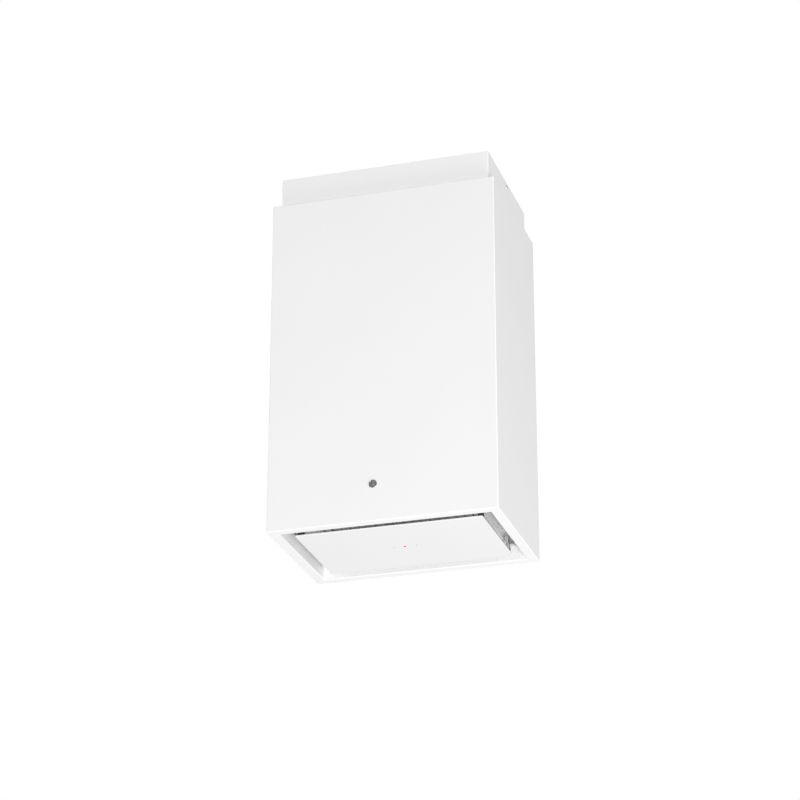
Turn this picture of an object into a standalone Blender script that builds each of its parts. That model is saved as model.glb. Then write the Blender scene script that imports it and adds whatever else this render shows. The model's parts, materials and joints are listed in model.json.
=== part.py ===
"""Island range hood: a painted box casing that hangs from a ceiling frame on telescopic legs.

Metres, +Z up. The origin is on the ceiling, at the centre of the ceiling plate; the front faces -Y.
Heights written as h are measured up from the underside of the casing's rim.
"""
import math

import bmesh
import bpy
from mathutils import Matrix, Vector

# ---------------------------------------------------------------- driving dimensions
CASING_W = 0.500
CASING_D = 0.340
CASING_H = 0.760
EXPOSED_SLEEVE = 0.070
GAP = 0.0003

CASING_T = 0.0012
FOLD_R = 0.0022
RIM_W = 0.022
UPSTAND_H = 0.035
TOP_FLANGE_W = 0.0125

SLEEVE_INSET = 0.015
SLEEVE_T = 0.001
SLEEVE_L = 0.430

PLATE_T = 0.002
PLATE_FLANGE_H = 0.020
DUCT_OPENING_R = 0.085
CEILING_SLOT = (0.170, 0.105)
CEILING_SLOT_R = 0.004
CEILING_SLOT_L = 0.022

LEG_T = 0.002
UPPER_LEG_W = 0.024
UPPER_LEG_BOTTOM = -0.400
LOWER_LEG_W = 0.020
LOWER_LEG_TOP = -0.035
LEG_RUNNING_GAP = 0.0005
LEG_SLOT = (0.006, 0.014)
LEG_SLOT_PITCH = 0.060

DECK_H = 0.046
DECK_T = 0.0012
DECK_FLANGE_H = 0.015
DECK_OPENING = (0.180, 0.118)

FILTER_HALF_D = 0.128
FILTER_W = 0.1865
FILTER_BOTTOM = 0.0355
FILTER_TOP = 0.0455
BAFFLE_PITCH = 0.019
BAFFLE_W = 0.0130
BAFFLE_T = 0.0010

BOX_HALF_W = 0.190
BOX_HALF_D = 0.125
BOX_TOP = 0.330
BOX_T = 0.001
BOX_FLANGE_W = 0.010

BLOWER_Y = 0.039
BLOWER_H = 0.150
SCROLL_R_MIN = 0.076
SCROLL_R_MAX = 0.104
SCROLL_CUTOFF_DEG = 60.0
SCROLL_HALF_W = 0.080
SCROLL_T = 0.0015
SCROLL_OUTLET_BACK = 0.070
INLET_R = 0.050

IMPELLER_R = 0.066
IMPELLER_HALF_W = 0.070
BLADE_COUNT = 20
SHAFT_R = 0.004
MOTOR_R = 0.040

COLLAR_R = 0.075
COLLAR_T = 0.0015
COLLAR_TOP = 0.392
DAMPER_H = 0.352
FLAP_R = 0.070
FLAP_T = 0.0015
KNUCKLE_R = 0.0032

PANEL_MARGIN = 0.0465
PANEL_BOTTOM = 0.002
PANEL_T = 0.003
PANEL_CORNER_R = 0.004
HINGE_Y = 0.1125
HINGE_H = 0.014
HINGE_X = 0.1965
SENSOR_X = 0.0245
SENSOR_LENS_R = 0.0013
STATUS_LENS_R = 0.0023
STATUS_LENS_PROUD = 0.0012

CONTROL_BOX_X = (-0.2450, -0.1915)
CONTROL_BOX_HALF_D = 0.085
CONTROL_BOX_H = (0.070, 0.200)
GLAND_AT = (-0.218, 0.050)
CABLE_R = 0.0035
CABLE_HOLE = (-0.060, 0.085)
CABLE_ROUTE = [
    (-0.212, -0.055, 0.085), (-0.200, -0.060, 0.085), (-0.188, -0.060, 0.085), (-0.174, -0.061, 0.082),
    (-0.158, -0.068, 0.072), (-0.140, -0.080, 0.063), (-0.118, -0.092, 0.058), (-0.090, -0.099, 0.056),
    (-0.055, -0.101, 0.055), (-0.015, -0.101, 0.055), (0.025, -0.101, 0.055), (0.060, -0.100, 0.056),
    (0.090, -0.095, 0.061), (0.112, -0.082, 0.071), (0.127, -0.060, 0.086), (0.135, -0.034, 0.104),
    (0.136, -0.008, 0.122), (0.130, 0.015, 0.137), (0.118, 0.031, 0.146), (0.103, 0.038, 0.1495),
    (0.0835, 0.039, 0.150),
]

BADGE_AT = (-0.018, 0.082)
BADGE_R = 0.009

RIM_Z = -(EXPOSED_SLEEVE + CASING_H)
HALF_W = CASING_W / 2
HALF_D = CASING_D / 2
PLATE_HALF = (HALF_W - SLEEVE_INSET - SLEEVE_T - GAP, HALF_D - SLEEVE_INSET - SLEEVE_T - GAP)


def up(h):
    """World z of a height above the rim."""
    return RIM_Z + h


# ---------------------------------------------------------------- materials
def principled(name, colour, roughness, metallic=0.0):
    mat = bpy.data.materials.new(name)
    mat.use_nodes = True
    shader = mat.node_tree.nodes["Principled BSDF"]
    shader.inputs["Base Color"].default_value = (*colour, 1.0)
    shader.inputs["Roughness"].default_value = roughness
    shader.inputs["Metallic"].default_value = metallic
    return mat


FINISHES = {
    "white_paint": ((0.87, 0.87, 0.86), 0.42, 0.0),
    "galvanised": ((0.56, 0.57, 0.58), 0.45, 0.9),
    "stainless": ((0.50, 0.50, 0.50), 0.32, 1.0),
    "zinc_screw": ((0.62, 0.62, 0.60), 0.35, 1.0),
    "black_plastic": ((0.03, 0.03, 0.03), 0.50, 0.0),
    "grey_plastic": ((0.30, 0.31, 0.32), 0.55, 0.0),
    "motor_cast": ((0.45, 0.45, 0.46), 0.50, 0.8),
    "cable_pvc": ((0.10, 0.10, 0.10), 0.45, 0.0),
    "red_lens": ((0.80, 0.05, 0.04), 0.20, 0.0),
    "smoked_lens": ((0.25, 0.24, 0.24), 0.15, 0.0),
    "steel_pin": ((0.55, 0.55, 0.55), 0.25, 1.0),
}


# ---------------------------------------------------------------- mesh building blocks
def box(bm, lo, hi):
    """An axis-aligned box between two corners."""
    size = Vector(hi) - Vector(lo)
    centre = (Vector(hi) + Vector(lo)) / 2
    matrix = Matrix.Translation(centre) @ Matrix.Diagonal((*size, 1.0))
    bmesh.ops.create_cube(bm, size=1.0, matrix=matrix)


def prism(bm, outline, axis, lo, hi):
    """Extrude a closed outline from lo to hi along an axis; the outline's two numbers follow X, Y, Z order."""
    first, second = [i for i in range(3) if i != axis]

    def vertex(point, level):
        at = [0.0, 0.0, 0.0]
        at[first], at[second], at[axis] = point[0], point[1], level
        return bm.verts.new(at)

    bottom = [vertex(p, lo) for p in outline]
    top = [vertex(p, hi) for p in outline]
    faces = [bm.faces.new(bottom), bm.faces.new(top)]
    for i in range(len(outline)):
        j = (i + 1) % len(outline)
        faces.append(bm.faces.new((bottom[i], bottom[j], top[j], top[i])))
    bmesh.ops.recalc_face_normals(bm, faces=faces)


def turned(bm, profile, matrix, segments=24, hollow=False):
    """Turn (radius, height) points round local Z. A hollow profile is a closed loop off the axis."""
    rings = []
    for radius, height in profile:
        if radius == 0.0:
            rings.append([bm.verts.new(matrix @ Vector((0, 0, height)))])
            continue
        ring = []
        for k in range(segments):
            turn = 2 * math.pi * k / segments
            at = Vector((radius * math.cos(turn), radius * math.sin(turn), height))
            ring.append(bm.verts.new(matrix @ at))
        rings.append(ring)
    pairs = list(zip(rings, rings[1:]))
    if hollow:
        pairs.append((rings[-1], rings[0]))
    faces = []
    for a, b in pairs:
        for k in range(segments):
            n = (k + 1) % segments
            corners = [a[k % len(a)], a[n % len(a)], b[n % len(b)], b[k % len(b)]]
            faces.append(bm.faces.new(list(dict.fromkeys(corners))))
    bmesh.ops.recalc_face_normals(bm, faces=faces)


def along(axis, at=(0, 0, 0)):
    """Matrix that carries local Z onto +X, +Y or +Z and moves to a point."""
    turns = {
        "X": Matrix.Rotation(math.pi / 2, 4, "Y"),
        "Y": Matrix.Rotation(-math.pi / 2, 4, "X"),
        "Z": Matrix.Identity(4),
    }
    return Matrix.Translation(at) @ turns[axis]


def rod(bm, axis, at, radius, length, segments=24):
    """A solid cylinder that starts at a point and runs along +X, +Y or +Z."""
    profile = [(0.0, 0.0), (radius, 0.0), (radius, length), (0.0, length)]
    turned(bm, profile, along(axis, at), segments)


def rounded_rectangle(half_w, half_d, radius, steps=5):
    """Outline of a rectangle with arcs at its corners, centred on zero."""
    points = []
    for corner, (sx, sy) in enumerate(((1, 1), (-1, 1), (-1, -1), (1, -1))):
        for step in range(steps + 1):
            turn = math.radians(90 * corner + 90 * step / steps)
            x = sx * (half_w - radius) + radius * math.cos(turn)
            y = sy * (half_d - radius) + radius * math.sin(turn)
            points.append((x, y))
    return points


def folded_ring(bm, profile, half_w, half_d, fold_r, steps=4):
    """Sweep a closed (inset, z) profile round a rectangle, with folded corners of radius fold_r."""
    loops = []
    for corner, (sx, sy) in enumerate(((1, 1), (-1, 1), (-1, -1), (1, -1))):
        for step in range(steps + 1):
            turn = math.radians(90 * corner + 90 * step / steps)
            loop = []
            for inset, z in profile:
                radius = max(fold_r - inset, 0.0)
                edge = max(inset, fold_r)
                x = sx * (half_w - edge) + radius * math.cos(turn)
                y = sy * (half_d - edge) + radius * math.sin(turn)
                loop.append(bm.verts.new((x, y, z)))
            loops.append(loop)
    for a, b in zip(loops, loops[1:] + loops[:1]):
        for i in range(len(profile)):
            j = (i + 1) % len(profile)
            bm.faces.new((a[i], b[i], b[j], a[j]))
    bmesh.ops.remove_doubles(bm, verts=bm.verts[:], dist=1e-6)
    bmesh.ops.recalc_face_normals(bm, faces=bm.faces[:])


def make_object(name, bm, origin=(0, 0, 0)):
    """Turn a bmesh in world coordinates into an object whose origin is at the given point."""
    bm.transform(Matrix.Translation(-Vector(origin)))
    mesh = bpy.data.meshes.new(name)
    bm.to_mesh(mesh)
    bm.free()
    obj = bpy.data.objects.new(name, mesh)
    obj.location = origin
    bpy.context.scene.collection.objects.link(obj)
    return obj


def part(name, finish, bm, origin=(0, 0, 0), round_angle=None):
    """A named sub-part with its own material; round pieces are shaded smooth."""
    obj = make_object(name, bm, origin)
    obj.data.materials.append(principled(name, *FINISHES[finish]))
    if round_angle:
        obj.data.shade_smooth()
        obj.data.set_sharp_from_angle(angle=math.radians(round_angle))
    return obj


def combine(obj, bm, operation):
    """Add to or cut from an object with a hidden wire-frame helper."""
    helper = make_object(f"{obj.name}_helper_{len(obj.modifiers)}", bm)
    helper.display_type = "WIRE"
    helper.hide_render = True
    boolean = obj.modifiers.new(operation.capitalize(), "BOOLEAN")
    boolean.operation = operation
    boolean.solver = "EXACT"
    boolean.object = helper


def cut(obj, bm):
    combine(obj, bm, "DIFFERENCE")


def fuse(obj, bm):
    combine(obj, bm, "UNION")


def corners():
    """The four corners: name and the signs of X and Y."""
    for side_y, sy in (("front", -1), ("back", 1)):
        for side_x, sx in (("left", -1), ("right", 1)):
            yield f"{side_y}_{side_x}", sx, sy


SIDES = (("left", -1), ("right", 1))


def mirrored_box(bm, sign, lo, hi):
    """A box given for the +X side, placed on either side."""
    x0, x1 = sorted((sign * lo[0], sign * hi[0]))
    box(bm, (x0, lo[1], lo[2]), (x1, hi[1], hi[2]))


# ---------------------------------------------------------------- ceiling group
def ceiling_plate():
    half_w, half_d = PLATE_HALF
    bm = bmesh.new()
    prism(bm, rounded_rectangle(half_w, half_d, FOLD_R, 4), 2, -PLATE_FLANGE_H, 0.0)
    plate = part("ceiling_plate", "galvanised", bm)
    cutter = bmesh.new()
    inner_w, inner_d = half_w - PLATE_T, half_d - PLATE_T
    box(cutter, (-inner_w, -inner_d, -PLATE_FLANGE_H - 0.01), (inner_w, inner_d, -PLATE_T))
    cut(plate, cutter)
    holes = bmesh.new()
    rod(holes, "Z", (0, 0, -0.01), DUCT_OPENING_R, 0.02, 48)
    slot = rounded_rectangle(CEILING_SLOT_L / 2, CEILING_SLOT_R, CEILING_SLOT_R - 1e-5, 4)
    for _, sx, sy in corners():
        at = (sx * CEILING_SLOT[0], sy * CEILING_SLOT[1])
        prism(holes, [(x + at[0], y + at[1]) for x, y in slot], 2, -0.01, 0.01)
    for _, sign in SIDES:
        rod(holes, "X", (sign * half_w - 0.01, 0, -PLATE_FLANGE_H / 2), 0.0022, 0.02, 12)
    cut(plate, holes)


def angle_leg(name, sx, sy, outer, width, z0, z1):
    """A slotted angle whose corner points outwards."""
    x0, y0 = sx * outer[0], sy * outer[1]
    outline = [
        (x0, y0),
        (x0 - sx * width, y0),
        (x0 - sx * width, y0 - sy * LEG_T),
        (x0 - sx * LEG_T, y0 - sy * LEG_T),
        (x0 - sx * LEG_T, y0 - sy * width),
        (x0, y0 - sy * width),
    ]
    bm = bmesh.new()
    prism(bm, outline, 2, z0, z1)
    leg = part(name, "galvanised", bm)
    cutter = bmesh.new()
    slot_x = x0 - sx * width * 0.55
    z = z0 + 0.030
    while z < z1 - 0.030:
        lo = (slot_x - LEG_SLOT[0] / 2, y0 - 0.01, z - LEG_SLOT[1] / 2)
        hi = (slot_x + LEG_SLOT[0] / 2, y0 + 0.01, z + LEG_SLOT[1] / 2)
        box(cutter, lo, hi)
        z += LEG_SLOT_PITCH
    cut(leg, cutter)


def legs():
    upper_outer = [half - PLATE_T - GAP for half in PLATE_HALF]
    lower_outer = [half - LEG_T - LEG_RUNNING_GAP for half in upper_outer]
    for name, sx, sy in corners():
        top = -PLATE_T - GAP
        angle_leg(f"upper_leg_{name}", sx, sy, upper_outer, UPPER_LEG_W, UPPER_LEG_BOTTOM, top)
        foot = up(DECK_H + DECK_T + GAP)
        angle_leg(f"lower_leg_{name}", sx, sy, lower_outer, LOWER_LEG_W, foot, LOWER_LEG_TOP)


def sleeve():
    half_w, half_d = HALF_W - SLEEVE_INSET, HALF_D - SLEEVE_INSET
    profile = [(0, 0), (0, -SLEEVE_L), (SLEEVE_T, -SLEEVE_L), (SLEEVE_T, 0)]
    bm = bmesh.new()
    folded_ring(bm, profile, half_w, half_d, FOLD_R)
    tube = part("sleeve", "white_paint", bm, round_angle=35)
    cutter = bmesh.new()
    for _, sign in SIDES:
        rod(cutter, "X", (sign * half_w - 0.005, 0, -PLATE_FLANGE_H / 2), 0.0022, 0.01, 12)
    cut(tube, cutter)


def sleeve_screws():
    """Pan-head screws that hold the sleeve to the plate's side flanges."""
    head = 0.0022
    profile = [(0, -0.006), (0.0019, -0.006), (0.0019, 0.0), (0.0040, 0.0), (0.0038, 0.0012),
               (0.0028, head), (0, head)]
    for name, sign in SIDES:
        at = (sign * (HALF_W - SLEEVE_INSET + GAP), 0, -PLATE_FLANGE_H / 2)
        turn = along("X", at) if sign > 0 else along("X", at) @ Matrix.Rotation(math.pi, 4, "Y")
        bm = bmesh.new()
        turned(bm, profile, turn, 12)
        part(f"sleeve_screw_{name}", "zinc_screw", bm, round_angle=40)


# ---------------------------------------------------------------- casing and its inner structure
def casing():
    t = CASING_T
    profile = [
        (0, up(CASING_H)),
        (0, up(0)),
        (RIM_W, up(0)),
        (RIM_W, up(UPSTAND_H)),
        (RIM_W - t, up(UPSTAND_H)),
        (RIM_W - t, up(t)),
        (t, up(t)),
        (t, up(CASING_H - t)),
        (TOP_FLANGE_W, up(CASING_H - t)),
        (TOP_FLANGE_W, up(CASING_H)),
    ]
    bm = bmesh.new()
    folded_ring(bm, profile, HALF_W, HALF_D, FOLD_R)
    part("casing", "white_paint", bm, round_angle=35)


def sleeve_guide():
    """Plastic strip under the casing's top flange that keeps the sleeve off the painted edge."""
    top = up(CASING_H - CASING_T - GAP)
    inner = SLEEVE_INSET - 0.0005
    profile = [(0.0075, top), (0.0075, top - 0.003), (inner, top - 0.003), (inner, top)]
    bm = bmesh.new()
    folded_ring(bm, profile, HALF_W, HALF_D, FOLD_R)
    part("sleeve_guide", "black_plastic", bm)


def chassis_deck():
    half_w, half_d = HALF_W - CASING_T - GAP, HALF_D - CASING_T - GAP
    bm = bmesh.new()
    outline = rounded_rectangle(half_w, half_d, FOLD_R, 4)
    prism(bm, outline, 2, up(DECK_H), up(DECK_H + DECK_FLANGE_H))
    deck = part("chassis_deck", "galvanised", bm)
    cutter = bmesh.new()
    inner_w, inner_d = half_w - DECK_T, half_d - DECK_T
    top = up(DECK_H + DECK_T)
    box(cutter, (-inner_w, -inner_d, top), (inner_w, inner_d, top + 0.05))
    cut(deck, cutter)
    opening = bmesh.new()
    w, d = DECK_OPENING
    box(opening, (-w, -d, up(DECK_H) - 0.02), (w, d, up(DECK_H) + 0.02))
    cut(deck, opening)


# ---------------------------------------------------------------- grease filters
def baffle(bm, x, half_d, bottom, height, opens_up):
    """One channel of the baffle pack, running front to back."""
    half, t = BAFFLE_W / 2, BAFFLE_T
    low, high = up(bottom), up(bottom + height)
    if opens_up:
        outline = [(-half, high), (-half, low), (half, low), (half, high),
                   (half - t, high), (half - t, low + t), (-half + t, low + t), (-half + t, high)]
    else:
        outline = [(-half, low), (-half, high), (half, high), (half, low),
                   (half - t, low), (half - t, high - t), (-half + t, high - t), (-half + t, low)]
    prism(bm, [(x + px, pz) for px, pz in outline], 1, -half_d, half_d)


def grease_filters():
    """Two welded baffle filters side by side: a frame with two layers of channels."""
    outer_member, inner_member, end_member = 0.022, 0.010, 0.014
    for name, sign in SIDES:
        x_in, x_out = sign * GAP, sign * (GAP + FILTER_W)
        lo_x, hi_x = sorted((x_in, x_out))
        bm = bmesh.new()
        box(bm, (lo_x, -FILTER_HALF_D, up(FILTER_BOTTOM)), (hi_x, FILTER_HALF_D, up(FILTER_TOP)))
        frame = part(f"grease_filter_{name}", "stainless", bm)
        win_x = sorted((x_in + sign * inner_member, x_out - sign * outer_member))
        win_d = FILTER_HALF_D - end_member
        cutter = bmesh.new()
        low, high = up(FILTER_BOTTOM - 0.01), up(FILTER_TOP + 0.01)
        box(cutter, (win_x[0], -win_d, low), (win_x[1], win_d, high))
        cut(frame, cutter)
        span = win_x[1] - win_x[0]
        count = int(span // BAFFLE_PITCH)
        first = (win_x[0] + win_x[1]) / 2 - (count - 1) / 2 * BAFFLE_PITCH
        slats = bmesh.new()
        reach = win_d + 0.002
        for k in range(count):
            baffle(slats, first + k * BAFFLE_PITCH, reach, FILTER_BOTTOM + 0.0008, 0.0032, True)
        for k in range(count - 1):
            x = first + (k + 0.5) * BAFFLE_PITCH
            baffle(slats, x, reach, FILTER_BOTTOM + 0.0052, 0.0034, False)
        fuse(frame, slats)


def filter_supports():
    """A ledge under the filters' back edge and a keeper that the front latches hook over."""
    half = GAP + FILTER_W
    top = up(DECK_H - GAP)
    lip = up(FILTER_BOTTOM - GAP)
    t = 0.0015
    back = FILTER_HALF_D + 0.0045
    ledge = [(back - 0.0085, lip - t), (back + t, lip - t), (back + t, top - t), (back + 0.012, top - t),
             (back + 0.012, top), (back, top), (back, lip), (back - 0.0085, lip)]
    bm = bmesh.new()
    prism(bm, ledge, 0, -half, half)
    part("filter_ledge", "galvanised", bm)
    front = -(FILTER_HALF_D + 0.008)
    low = up(FILTER_BOTTOM - GAP - 0.0025)
    keeper = [(front + 0.006, low - t), (front - t, low - t), (front - t, top - t), (front - 0.012, top - t),
              (front - 0.012, top), (front, top), (front, low), (front + 0.006, low)]
    bm = bmesh.new()
    prism(bm, keeper, 0, -half, half)
    part("filter_keeper", "galvanised", bm)


def filter_latches():
    """Sprung sliding latches under the front member of each filter, pulled back to let the filter drop."""
    for name, sign in SIDES:
        x = sign * (GAP + FILTER_W / 2)
        plate_top = up(FILTER_BOTTOM - GAP)
        plate_low = plate_top - 0.0022
        front = -(FILTER_HALF_D + 0.0055)
        outline = [(front, plate_low), (front, plate_top), (front + 0.024, plate_top),
                   (front + 0.024, plate_low - 0.006), (front + 0.0215, plate_low - 0.006),
                   (front + 0.0215, plate_low)]
        bm = bmesh.new()
        prism(bm, outline, 0, x - 0.016, x + 0.016)
        part(f"filter_latch_{name}", "stainless", bm, origin=(x, front, plate_low))


# ---------------------------------------------------------------- motor box and blower
def motor_box():
    low, high = up(DECK_H + DECK_T + GAP), up(BOX_TOP - GAP)
    t, flange = BOX_T, BOX_FLANGE_W
    for name, sign in SIDES:
        outline = [(BOX_HALF_W - t, low), (BOX_HALF_W + flange, low), (BOX_HALF_W + flange, low + t),
                   (BOX_HALF_W, low + t), (BOX_HALF_W, high), (BOX_HALF_W - t, high)]
        bm = bmesh.new()
        prism(bm, [(sign * x, z) for x, z in outline], 1, -BOX_HALF_D, BOX_HALF_D)
        wall = part(f"motor_box_{name}", "galvanised", bm)
        if name == "left":
            hole = bmesh.new()
            rod(hole, "X", (-BOX_HALF_W - 0.01, CABLE_HOLE[0], up(CABLE_HOLE[1])), 0.0052, 0.02, 16)
            cut(wall, hole)
    half = BOX_HALF_W - t - GAP
    for name, sign in (("front", -1), ("back", 1)):
        outline = [(BOX_HALF_D - t, low), (BOX_HALF_D + flange, low), (BOX_HALF_D + flange, low + t),
                   (BOX_HALF_D, low + t), (BOX_HALF_D, high), (BOX_HALF_D - t, high)]
        bm = bmesh.new()
        prism(bm, [(sign * y, z) for y, z in outline], 0, -half, half)
        part(f"motor_box_{name}", "galvanised", bm)
    bm = bmesh.new()
    box(bm, (-BOX_HALF_W, -BOX_HALF_D, up(BOX_TOP)), (BOX_HALF_W, BOX_HALF_D, up(BOX_TOP + t)))
    top = part("motor_box_top", "galvanised", bm)
    hole = bmesh.new()
    rod(hole, "Z", (0, 0, up(BOX_TOP) - 0.01), COLLAR_R - COLLAR_T, 0.02, 48)
    cut(top, hole)


def scroll_outline(shrink, top):
    """The spiral in Y and Z, from the cut-off round the bottom to the front wall of the outlet."""
    points = [(SCROLL_OUTLET_BACK - shrink, top), (SCROLL_OUTLET_BACK - shrink, up(BLOWER_H + 0.076))]
    steps = 30
    sweep = 180.0 + SCROLL_CUTOFF_DEG
    for k in range(steps + 1):
        turn = math.radians(SCROLL_CUTOFF_DEG - sweep * k / steps)
        r = SCROLL_R_MIN + (SCROLL_R_MAX - SCROLL_R_MIN) * k / steps - shrink
        points.append((BLOWER_Y + r * math.cos(turn), up(BLOWER_H) + r * math.sin(turn)))
    points.append((BLOWER_Y - SCROLL_R_MAX + shrink, top))
    return points


def blower_housing():
    """Two half shells that meet at the middle of the impeller; each has an inlet in its side."""
    top = up(BOX_TOP - 2 * GAP)
    for name, sign in SIDES:
        outer = sorted((sign * GAP / 2, sign * SCROLL_HALF_W))
        inner = sorted((-sign * 0.01, sign * (SCROLL_HALF_W - SCROLL_T)))
        bm = bmesh.new()
        prism(bm, scroll_outline(0.0, top), 0, *outer)
        shell = part(f"blower_shell_{name}", "grey_plastic", bm, round_angle=35)
        cutter = bmesh.new()
        prism(cutter, scroll_outline(SCROLL_T, top + 0.01), 0, *inner)
        cut(shell, cutter)
        inlet = bmesh.new()
        rod(inlet, "X", (sign * SCROLL_HALF_W - 0.01, BLOWER_Y, up(BLOWER_H)), INLET_R, 0.02, 40)
        cut(shell, inlet)


def impeller():
    """Double-width squirrel cage: a centre disc with a hub, two end rings and inclined blades."""
    centre = (0, BLOWER_Y, up(BLOWER_H))
    place = along("X", centre)
    hub_r, bore_r = 0.012, SHAFT_R + GAP
    disc = [(bore_r, -0.006), (hub_r, -0.006), (hub_r, -0.0015), (IMPELLER_R - 0.004, -0.0015),
            (IMPELLER_R - 0.004, 0.0015), (hub_r, 0.0015), (hub_r, 0.006), (bore_r, 0.006)]
    bm = bmesh.new()
    turned(bm, disc, place, 32, hollow=True)
    for sign in (-1, 1):
        low, high = sorted((sign * (IMPELLER_HALF_W - 0.004), sign * IMPELLER_HALF_W))
        ring = [(IMPELLER_R - 0.005, low), (IMPELLER_R, low), (IMPELLER_R, high), (IMPELLER_R - 0.005, high)]
        turned(bm, ring, place, 32, hollow=True)
    wheel = part("impeller", "galvanised", bm, origin=centre, round_angle=35)
    blades = bmesh.new()
    for k in range(BLADE_COUNT):
        turn = Matrix.Rotation(2 * math.pi * (k + 0.5) / BLADE_COUNT, 4, "Z")
        lean = Matrix.Rotation(math.radians(28), 4, "Z")
        spot = place @ turn @ Matrix.Translation((IMPELLER_R - 0.0085, 0, 0)) @ lean
        blade = spot @ Matrix.Diagonal((0.013, 0.0012, 2 * IMPELLER_HALF_W - 0.002, 1.0))
        bmesh.ops.create_cube(blades, size=1.0, matrix=blade)
    fuse(wheel, blades)
    bm = bmesh.new()
    rod(bm, "X", (-0.010, centre[1], centre[2]), SHAFT_R, 0.086, 32)
    part("motor_shaft", "steel_pin", bm, origin=centre, round_angle=35)


def motor():
    place = along("X", (0, BLOWER_Y, up(BLOWER_H)))
    bore = SHAFT_R + GAP
    can = [(bore, 0.0080), (0.016, 0.0080), (0.016, 0.0110), (0.030, 0.0130), (MOTOR_R, 0.0200),
           (MOTOR_R, 0.0600), (0.032, 0.0660), (0.014, 0.0665), (0.014, 0.0700), (bore, 0.0700)]
    bm = bmesh.new()
    turned(bm, can, place, 32, hollow=True)
    part("motor", "motor_cast", bm, round_angle=35)
    spider = [(0.005, 0.0703), (0.014, 0.0703), (0.014, SCROLL_HALF_W + GAP), (0.060, SCROLL_HALF_W + GAP),
              (0.060, 0.0823), (0.005, 0.0823)]
    bm = bmesh.new()
    turned(bm, spider, place, 32, hollow=True)
    bracket = part("motor_bracket", "galvanised", bm, round_angle=35)
    windows = bmesh.new()
    for k in range(3):
        arc = [math.radians(120 * k + 15 + 90 * step / 8) for step in range(9)]
        outline = [(0.046 * math.cos(a), 0.046 * math.sin(a)) for a in arc]
        outline += [(0.022 * math.cos(a), 0.022 * math.sin(a)) for a in reversed(arc)]
        shifted = [(BLOWER_Y + y, up(BLOWER_H) + z) for y, z in outline]
        prism(windows, shifted, 0, 0.0790, 0.0900)
    cut(bracket, windows)


def capacitor():
    """Run capacitor standing on the deck beside the blower."""
    foot = up(DECK_H + DECK_T + GAP)
    can = [(0, 0), (0.0170, 0), (0.0175, 0.0010), (0.0175, 0.0520), (0.0160, 0.0540), (0.0160, 0.0530),
           (0.0050, 0.0530), (0.0050, 0.0600), (0, 0.0600)]
    bm = bmesh.new()
    turned(bm, can, along("Z", (0.160, -0.1045, foot + 0.0012)), 24)
    part("capacitor", "grey_plastic", bm, round_angle=35)


def outlet_collar():
    low = up(BOX_TOP + BOX_T + GAP)
    inner = COLLAR_R - COLLAR_T
    profile = [(inner, low), (0.092, low), (0.092, low + 0.0015), (COLLAR_R, low + 0.0015),
               (COLLAR_R, up(COLLAR_TOP)), (inner, up(COLLAR_TOP))]
    bm = bmesh.new()
    turned(bm, profile, Matrix.Identity(4), 48, hollow=True)
    collar = part("outlet_collar", "black_plastic", bm, round_angle=35)
    holes = bmesh.new()
    rod(holes, "Y", (0, -0.09, up(DAMPER_H)), 0.0018, 0.18, 16)
    cut(collar, holes)
    bm = bmesh.new()
    rod(bm, "Y", (0, -COLLAR_R + 0.0002, up(DAMPER_H)), 0.0015, 2 * COLLAR_R - 0.0004, 16)
    part("damper_axle", "steel_pin", bm, round_angle=35)


def damper_flaps():
    """Two half-round flaps on one axle; air lifts them and their weight closes them."""
    for name, sign, knuckle_y in (("left", -1, 0.045), ("right", 1, 0.020)):
        start = KNUCKLE_R + 0.0004
        limit = math.acos(start / FLAP_R)
        outline = []
        steps = 16
        for k in range(steps + 1):
            turn = -limit + 2 * limit * k / steps
            outline.append((sign * FLAP_R * math.cos(turn), FLAP_R * math.sin(turn)))
        bm = bmesh.new()
        prism(bm, outline, 2, up(DAMPER_H) - FLAP_T / 2, up(DAMPER_H) + FLAP_T / 2)
        flap = part(f"damper_flap_{name}", "black_plastic", bm, origin=(0, 0, up(DAMPER_H)), round_angle=35)
        fittings = bmesh.new()
        for side in (-1, 1):
            y0 = side * knuckle_y - 0.007
            tube = [(0.0018, 0), (KNUCKLE_R, 0), (KNUCKLE_R, 0.014), (0.0018, 0.014)]
            turned(fittings, tube, along("Y", (0, y0, up(DAMPER_H))), 16, hollow=True)
        fuse(flap, fittings)
        tabs = bmesh.new()
        for side in (-1, 1):
            y0 = side * knuckle_y - 0.006
            z = up(DAMPER_H)
            mirrored_box(tabs, sign, (0.0024, y0, z - 0.0007), (0.0060, y0 + 0.012, z + 0.0007))
        fuse(flap, tabs)


# ---------------------------------------------------------------- electrics
def smooth_route(points, spacing):
    """Points every spacing along a Catmull-Rom curve through the route's points."""
    knots = [Vector(p) for p in points]
    knots = [2 * knots[0] - knots[1]] + knots + [2 * knots[-1] - knots[-2]]
    fine = []
    for a, b, c, d in zip(knots, knots[1:], knots[2:], knots[3:]):
        for k in range(12):
            t = k / 12
            fine.append(0.5 * (2 * b + (c - a) * t + (2 * a - 5 * b + 4 * c - d) * t * t
                               + (3 * b - a - 3 * c + d) * t * t * t))
    fine.append(knots[-2])
    kept = [fine[0]]
    for point in fine[1:-1]:
        if (point - kept[-1]).length >= spacing:
            kept.append(point)
    if (fine[-1] - kept[-1]).length < spacing / 2:
        kept.pop()
    return kept + [fine[-1]]


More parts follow.
